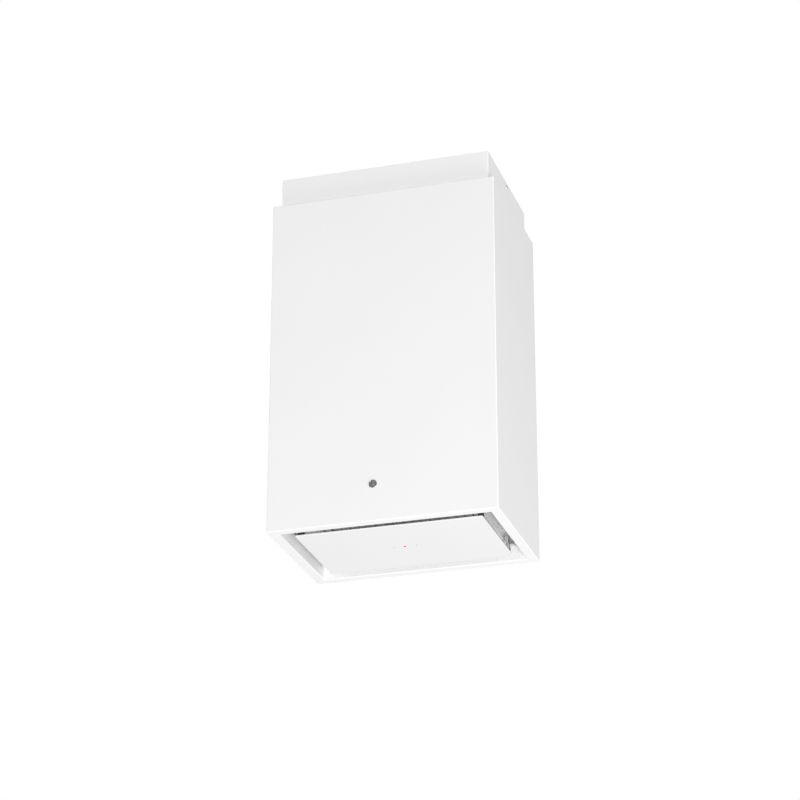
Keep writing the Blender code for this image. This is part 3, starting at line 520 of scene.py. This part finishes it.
def panel_skin():
    """Flat suction panel with rounded edges and three windows for the lenses."""
    lo, hi, middle = span("suction_panel")
    edge = PANEL_EDGE_R
    turns = quarter_turns(15)
    steps = [(edge * (1 - math.sin(a)), lo.z + edge * (1 - math.cos(a))) for a in turns]
    steps += [(edge * (1 - math.sin(a)), hi.z - edge * (1 - math.cos(a))) for a in reversed(turns)]
    bm = bmesh.new()
    rings = []
    for inset, z in steps:
        outline = rounded_rectangle(hi.x - inset, hi.y - inset, PANEL_CORNER_R - inset, 8)
        rings.append([bm.verts.new((x, y, z)) for x, y in outline])
    close_stack(bm, rings)
    # The panel takes the darker copy of the white paint, which is painted shade.
    panel = piece("suction_panel_skin", bm, "panel", "white_paint", SHADED_PANEL_PAINT, ["suction_panel"])

    gap, bevel_w, bevel_h, reach = 0.0003, 0.0006, 0.0004, 0.01
    underside = lo.z - middle.z
    holes = bmesh.new()
    for name in ("status_lens", "sensor_lens_left", "sensor_lens_right"):
        lens_lo, lens_hi, centre = span(name)
        radius = (lens_hi.x - lens_lo.x) / 2 + gap
        profile = [(0, -reach), (radius + bevel_w, -reach), (radius + bevel_w, underside),
                   (radius, underside + bevel_h), (radius, reach), (0, reach)]
        turned(holes, profile, Matrix.Translation((centre.x, centre.y, middle.z)), 32)
    cut_holes(panel, holes)


# ---------------------------------------------------------------- grease filters and latches
def channel(x, low, height, opens_up):
    """Outline of one rolled channel of the baffle pack."""
    half, t = BAFFLE_W / 2, BAFFLE_T
    outer_r, inner_r = 0.0012, 0.0005
    outer, inner = (low, low + t) if opens_up else (low + height, low + height - t)
    end = low + height if opens_up else low
    points, radii = zip(
        ((-half, end), 0.0), ((-half, outer), outer_r), ((half, outer), outer_r), ((half, end), 0.0),
        ((half - t, end), 0.0), ((half - t, inner), inner_r), ((-half + t, inner), inner_r),
        ((-half + t, end), 0.0),
    )
    return [(x + px, pz) for px, pz in fillet(points, radii, 3)]


def filter_frame(name, lo, hi, window):
    """Two long members at the sides of the window, and two end members let in between them."""
    end_chamfer, step, lap = 0.0004, 0.0001, 0.004
    bm = bmesh.new()
    for x0, x1 in ((lo.x, window[0]), (window[1], hi.x)):
        outline = fillet([(x0, lo.z), (x1, lo.z), (x1, hi.z), (x0, hi.z)], FILTER_FOLD_R, 3)
        prism(bm, outline, Y, lo.y, hi.y, end_chamfer)
    low, high = lo.z + step, hi.z - step
    for y0, y1 in ((lo.y, lo.y + FILTER_END_W), (hi.y - FILTER_END_W, hi.y)):
        outline = fillet([(y0, low), (y1, low), (y1, high), (y0, high)], FILTER_FOLD_R, 3)
        prism(bm, outline, X, window[0] - lap, window[1] + lap)
    # The frame takes the lighter copy of the stainless, which is painted light.
    piece(f"filter_frame_{name}", bm, "hood", "stainless", LIT_FILTER_STEEL, [f"grease_filter_{name}"])


def baffle_filter(name, sign):
    """Welded frame with two staggered layers of rolled channels."""
    lo, hi, _ = span(f"grease_filter_{name}")
    x_in, x_out = (lo.x, hi.x) if sign > 0 else (hi.x, lo.x)
    window = sorted((x_in + sign * FILTER_INNER_W, x_out - sign * FILTER_OUTER_W))
    filter_frame(name, lo, hi, window)

    lap = 0.002
    count = int((window[1] - window[0]) // BAFFLE_PITCH)
    first = (window[0] + window[1]) / 2 - (count - 1) / 2 * BAFFLE_PITCH
    gaps = [first + (k + 0.5) * BAFFLE_PITCH for k in range(count - 1)]
    front, back = lo.y + FILTER_END_W - lap, hi.y - FILTER_END_W + lap
    slats = bmesh.new()
    for k in range(count):
        outline = channel(first + k * BAFFLE_PITCH, lo.z + LOWER_LAYER[0], LOWER_LAYER[1], True)
        prism(slats, outline, Y, front, back)
    for x in gaps:
        prism(slats, channel(x, lo.z + UPPER_LAYER[0], UPPER_LAYER[1], False), Y, front, back)
    # The channels take the lighter copy of the stainless, which is painted light.
    piece(f"filter_baffles_{name}", slats, "hood", "stainless", LIT_FILTER_STEEL)

    weld_inset, weld_r, weld_h = 0.007, 0.0016, 0.0003
    seat = lo.z + 0.00005
    welds = []
    for x in gaps:
        welds += [((x, y, seat), (0, 0, -1)) for y in (lo.y + weld_inset, hi.y - weld_inset)]
    rivets(f"filter_weld_spots_{name}", "hood", "stainless", welds, weld_r, weld_h)


def filter_latch(name):
    """Tab with a turned-down lip and three pressed grip ribs."""
    node = f"filter_latch_{name}"
    lo, hi, _ = span(node)
    lip = 0.0025
    underside = hi.z - 0.0022
    outline = [(lo.y, underside), (lo.y, hi.z), (hi.y, hi.z), (hi.y, lo.z),
               (hi.y - lip, lo.z), (hi.y - lip, underside)]
    bm = bmesh.new()
    prism(bm, fillet(outline, [0.0005, 0.0005, 0.0014, 0.0008, 0.0008, 0.0008], 4), X, lo.x, hi.x)
    piece(f"latch_tab_{name}", bm, f"latch_{name}", "stainless", STAINLESS_ACROSS, replaces=[node])

    half_w, first_rib, rib_pitch, rib_inset = 0.0012, 0.006, 0.0045, 0.005
    root, crest = hi.z - 0.0021, hi.z - 0.0028
    ribs = bmesh.new()
    for k in range(3):
        y = lo.y + first_rib + rib_pitch * k
        section = [(y - half_w, root), (y - half_w / 2, crest), (y + half_w / 2, crest), (y + half_w, root)]
        prism(ribs, fillet(section, CUT_R, 2), X, lo.x + rib_inset, hi.x - rib_inset)
    piece(f"latch_grip_{name}", ribs, f"latch_{name}", "stainless", STAINLESS_ACROSS)


# ---------------------------------------------------------------- badge and fasteners
def badge_disc():
    """Plain turned disc with a raised ring and no mark."""
    lo, hi, middle = span("badge")
    radius = (hi.x - lo.x) / 2
    depth = hi.y - lo.y
    bevel, ring_out, ring_in = 0.0002, 0.0004, 0.0012
    groove_out, groove_in, face_out = 0.0016, 0.0060, 0.0064
    groove, face = depth - 0.0005, depth - 0.0002
    profile = [(0, 0), (radius - bevel, 0), (radius, bevel), (radius, groove),
               (radius - ring_out, depth), (radius - ring_in, depth),
               (radius - groove_out, groove), (radius - groove_in, groove),
               (radius - face_out, face), (0, face)]
    bm = bmesh.new()
    turned(bm, profile, facing((0, -1, 0), (middle.x, hi.y, middle.z)), 64)
    piece("badge_disc", bm, "hood", "stainless", BADGE_METAL, replaces=["badge"])


def sleeve_fixings():
    """One pan head on each side of the sleeve."""
    clearance, radius = 0.0001, 0.0038
    for name, sign in SIDES:
        centre = span(f"sleeve_screw_{name}")[2]
        seat = sign * (span("sleeve")[1].x + clearance)
        screws(f"sleeve_screw_head_{name}", "ceiling_group", [((seat, centre.y, centre.z), (sign, 0, 0))],
               radius, [f"sleeve_screw_{name}"])


def guide_rivets():
    """Push rivets that hold the plastic guide strip under the casing's top flange."""
    hi = span("casing")[1]
    inset = 0.0098
    places = []
    for sign in (-1, 1):
        for x in (-0.190, -0.065, 0.065, 0.190):
            places.append(((x, sign * (hi.y - inset), hi.z), (0, 0, 1)))
        for y in (-0.100, 0.100):
            places.append(((sign * (hi.x - inset), y, hi.z), (0, 0, 1)))
    radius, height = 0.0022, 0.0008
    rivets("guide_rivets", "hood", "black_plastic", places, radius, height)


def motor_box_screws():
    """Screws through the motor box's feet, its lid and the collar's flange."""
    hi = span("motor_box_top")[1]
    foot_t, foot_reach, lid_inset = 0.001, 0.005, 0.008
    foot = span("motor_box_left")[0].z + foot_t
    feet = []
    lid = []
    for sign in (-1, 1):
        feet += [((sign * (hi.x + foot_reach), y, foot), (0, 0, 1)) for y in (-0.095, 0.0, 0.095)]
        feet += [((x, sign * (hi.y + foot_reach), foot), (0, 0, 1)) for x in (-0.150, 0.0, 0.150)]
        lid += [((x, sign * (hi.y - lid_inset), hi.z), (0, 0, 1)) for x in (-0.175, -0.060, 0.060, 0.175)]
    screws("motor_box_foot_screws", "hood", feet)
    screws("motor_box_lid_screws", "hood", lid)

    flange_t, circle_r, radius = 0.0015, 0.0855, 0.0030
    flange = span("outlet_collar")[0].z + flange_t
    ring = []
    for k in range(6):
        turn = math.radians(60 * k + 30)
        ring.append(((circle_r * math.cos(turn), circle_r * math.sin(turn), flange), (0, 0, 1)))
    screws("collar_screws", "hood", ring, radius)


def control_box_screws():
    """One screw at each corner of the control box's lid."""
    lo, hi, _ = span("control_box_lid")
    inset, radius = 0.006, 0.0028
    places = []
    for x in (lo.x + inset, hi.x - inset):
        places += [((x, y, hi.z), (0, 0, 1)) for y in (lo.y + inset, hi.y - inset)]
    screws("control_box_screws", "hood", places, radius)


def leg_clamp_screws():
    """Hexagon clamp screws with washers on the inner face of each lower leg, near its top."""
    below_top, off_centre, flange_t = 0.040, 0.0015, 0.002
    head_r, head_low, head_high, corner_r, chamfer = 0.0046, 0.0008, 0.0042, 0.0006, 0.0004
    turns = [math.radians(60 * k) for k in range(6)]
    hexagon = fillet([(head_r * math.cos(t), head_r * math.sin(t)) for t in turns], corner_r, 3)
    washer = [(0, 0), (0.0062, 0), (0.0064, 0.0002), (0.0064, 0.0008), (0.0060, 0.0010), (0, 0.0010)]
    for row, sy in (("front", -1), ("back", 1)):
        for column, sx in SIDES:
            lo, hi, middle = span(f"lower_leg_{row}_{column}")
            inner_y = (lo.y if sy < 0 else hi.y) - sy * flange_t
            at = Vector((middle.x - sx * off_centre, inner_y, hi.z - below_top))
            bm = bmesh.new()
            prism(bm, hexagon, Z, head_low, head_high, chamfer)
            turned(bm, washer, Matrix.Identity(4), 32)
            bm.transform(facing((0, -sy, 0), at))
            piece(f"leg_clamp_screw_{row}_{column}", bm, "hood", "zinc_screw")


def stiffener_welds(seat):
    """Two rows of spot welds along each stiffener, which stands on the panel at the height of seat."""
    count, end_inset, side_inset, radius, height = 8, 0.020, 0.0030, 0.0020, 0.0003
    foot = seat + 0.0013
    for row in ("front", "back"):
        lo, hi, _ = span(f"panel_stiffener_{row}")
        places = []
        for k in range(count):
            x = lo.x + end_inset + (hi.x - lo.x - 2 * end_inset) * k / (count - 1)
            places += [((x, y, foot), (0, 0, 1)) for y in (lo.y + side_inset, hi.y - side_inset)]
        rivets(f"stiffener_welds_{row}", "panel", "galvanised", places, radius, height)


def leaf_rivets(seat):
    """Three rivets through each hinge leaf, which lies on the panel at the height of seat."""
    off_centre, leaf_t, radius, height = 0.0015, 0.0017, 0.0019, 0.0009
    for name, sign in SIDES:
        x = span(f"hinge_leaf_{name}")[2].x - sign * off_centre
        places = [((x, y, seat + leaf_t), (0, 0, 1)) for y in (0.084, 0.0935, 0.103)]
        rivets(f"leaf_rivets_{name}", "panel", "stainless", places, radius, height)


def sensor_module_screws():
    """One screw at each end of the sensor module."""
    _, hi, middle = span("sensor_module")
    inset, radius = 0.006, 0.0025
    places = [((sign * (hi.x - inset), middle.y, hi.z), (0, 0, 1)) for sign in (-1, 1)]
    screws("sensor_module_screws", "panel", places, radius)


# ---------------------------------------------------------------- CAD nodes that stay
EDGE_BREAK = {
    "ceiling_plate": 0.0004, "chassis_deck": 0.0003, "control_box": 0.0003,
    "sleeve_guide": 0.0003, "filter_ledge": 0.0003, "filter_keeper": 0.0003, "sensor_module": 0.0005,
    "panel_stiffener": 0.0002, "motor_box": 0.0002, "upper_leg": 0.0003, "lower_leg": 0.0003,
    "panel_catch": 0.0003, "hinge_bracket": 0.0002, "hinge_leaf": 0.0002, "outlet_collar": 0.0002,
    "terminal_block": 0.0004, "damper_flap": 0.0002,
}


def dress_cad_nodes():
    """Each shown CAD node gets its finish, and sheet parts get broken edges."""
    for name, obj in frame["nodes"].items():
        obj.data.materials.clear()
        obj.data.materials.append(FINISH[slot_of[name]])
        if obj.hide_render:
            continue
        width = next((w for start, w in EDGE_BREAK.items() if name.startswith(start)), 0.0)
        if not width:
            continue
        weld = obj.modifiers.new("weld", "WELD")
        weld.merge_threshold = 0.00001
        bevel = obj.modifiers.new("edge_break", "BEVEL")
        bevel.width = width
        bevel.segments = 2
        bevel.angle_limit = math.radians(40)
        bevel.harden_normals = True


# ---------------------------------------------------------------- floor, light and camera
def stage_floor():
    """A round pale floor far below, which the hood neither mirrors nor takes light from."""
    bm = bmesh.new()
    level = cad_box[0].z - FLOOR_DROP
    turns = [math.radians(a) for a in range(0, 360, 3)]
    bm.faces.new([bm.verts.new((FLOOR_R * math.cos(t), FLOOR_R * math.sin(t), level)) for t in turns])
    mat, tree, shader = material("floor", Emission_Color=(1.0, 1.0, 1.0, 1.0), Emission_Strength=FLOOR_GLOW)
    colour_between(tree, shader, noise(tree, place(tree), scale=0.8), (0.90,) * 3, (0.92,) * 3)
    floor = finished("floor", bm, mat)
    floor.modifiers.clear()
    floor.visible_diffuse = False
    floor.visible_glossy = False


def studio_light():
    """A white studio all round, brightest behind the hood; the camera sees it plain."""
    world = bpy.data.worlds.new("studio")
    bpy.context.scene.world = world
    world.use_nodes = True
    tree = world.node_tree
    tree.nodes.clear()
    direction = tree.nodes.new("ShaderNodeTexCoord")
    lean = tree.nodes.new("ShaderNodeVectorMath")
    lean.operation = "DOT_PRODUCT"
    lean.inputs[1].default_value = STUDIO_LEAN
    level = tree.nodes.new("ShaderNodeMath")
    level.operation = "ADD"
    level.inputs[1].default_value = STUDIO_LEVEL
    soft = tree.nodes.new("ShaderNodeBackground")
    plain = tree.nodes.new("ShaderNodeBackground")
    ray = tree.nodes.new("ShaderNodeLightPath")
    mix = tree.nodes.new("ShaderNodeMixShader")
    output = tree.nodes.new("ShaderNodeOutputWorld")
    soft.inputs["Color"].default_value = (1.0, 1.0, 1.0, 1.0)
    plain.inputs["Color"].default_value = (1.0, 1.0, 1.0, 1.0)
    tree.links.new(direction.outputs["Generated"], lean.inputs[0])
    tree.links.new(lean.outputs["Value"], level.inputs[0])
    tree.links.new(level.outputs["Value"], soft.inputs["Strength"])
    tree.links.new(ray.outputs["Is Camera Ray"], mix.inputs["Fac"])
    tree.links.new(soft.outputs["Background"], mix.inputs[1])
    tree.links.new(plain.outputs["Background"], mix.inputs[2])
    tree.links.new(mix.outputs["Shader"], output.inputs["Surface"])


def bearing(azimuth, elevation):
    """Unit vector from the hood towards an azimuth and an elevation."""
    a, e = math.radians(azimuth), math.radians(elevation)
    return Vector((math.sin(a) * math.cos(e), -math.cos(a) * math.cos(e), math.sin(e)))


def softbox(name, azimuth, elevation, distance, size, watts):
    """A square area light aimed at the middle of the hood."""
    target = Vector((0.0, 0.0, (cad_box[0].z + cad_box[1].z) / 2))
    back = bearing(azimuth, elevation)
    light = bpy.data.lights.new(name, "AREA")
    light.size = size
    light.energy = watts
    obj = bpy.data.objects.new(name, light)
    obj.location = target + back * distance
    obj.rotation_euler = (-back).to_track_quat("-Z", "Y").to_euler()
    obj.visible_camera = False
    bpy.context.scene.collection.objects.link(obj)


def softboxes():
    """Three, of which the front one shines along the camera's own line, into the gap round the panel."""
    softbox("front_softbox", azimuth=17, elevation=-23.5, distance=12.0, size=1.2, watts=1065.0)
    softbox("side_softbox", azimuth=75, elevation=-50, distance=8.0, size=4.0, watts=360.0)
    softbox("back_softbox", azimuth=235, elevation=30, distance=12.0, size=4.0, watts=500.0)


def make_camera():
    """A long lens from below, a little to the right of the front."""
    back = bearing(CAMERA_AZIMUTH, CAMERA_ELEVATION)
    camera = bpy.data.cameras.new("camera")
    camera.lens = CAMERA_LENS
    camera.clip_end = 100.0
    obj = bpy.data.objects.new("camera", camera)
    obj.location = Vector(CAMERA_AIM) + back * CAMERA_DISTANCE
    obj.rotation_mode = "QUATERNION"
    obj.rotation_quaternion = (-back).to_track_quat("-Z", "Y")
    bpy.context.scene.collection.objects.link(obj)
    bpy.context.scene.camera = obj


# ---------------------------------------------------------------- build
make_camera()
casing_skin()
sleeve_skin()
panel_skin()
for side, side_sign in SIDES:
    baffle_filter(side, side_sign)
    filter_latch(side)
badge_disc()
sleeve_fixings()
guide_rivets()
motor_box_screws()
control_box_screws()
leg_clamp_screws()
panel_top = span("suction_panel")[1].z
stiffener_welds(panel_top)
leaf_rivets(panel_top)
sensor_module_screws()
dress_cad_nodes()
stage_floor()
studio_light()
softboxes()
bpy.context.scene.view_settings.view_transform = "Standard"
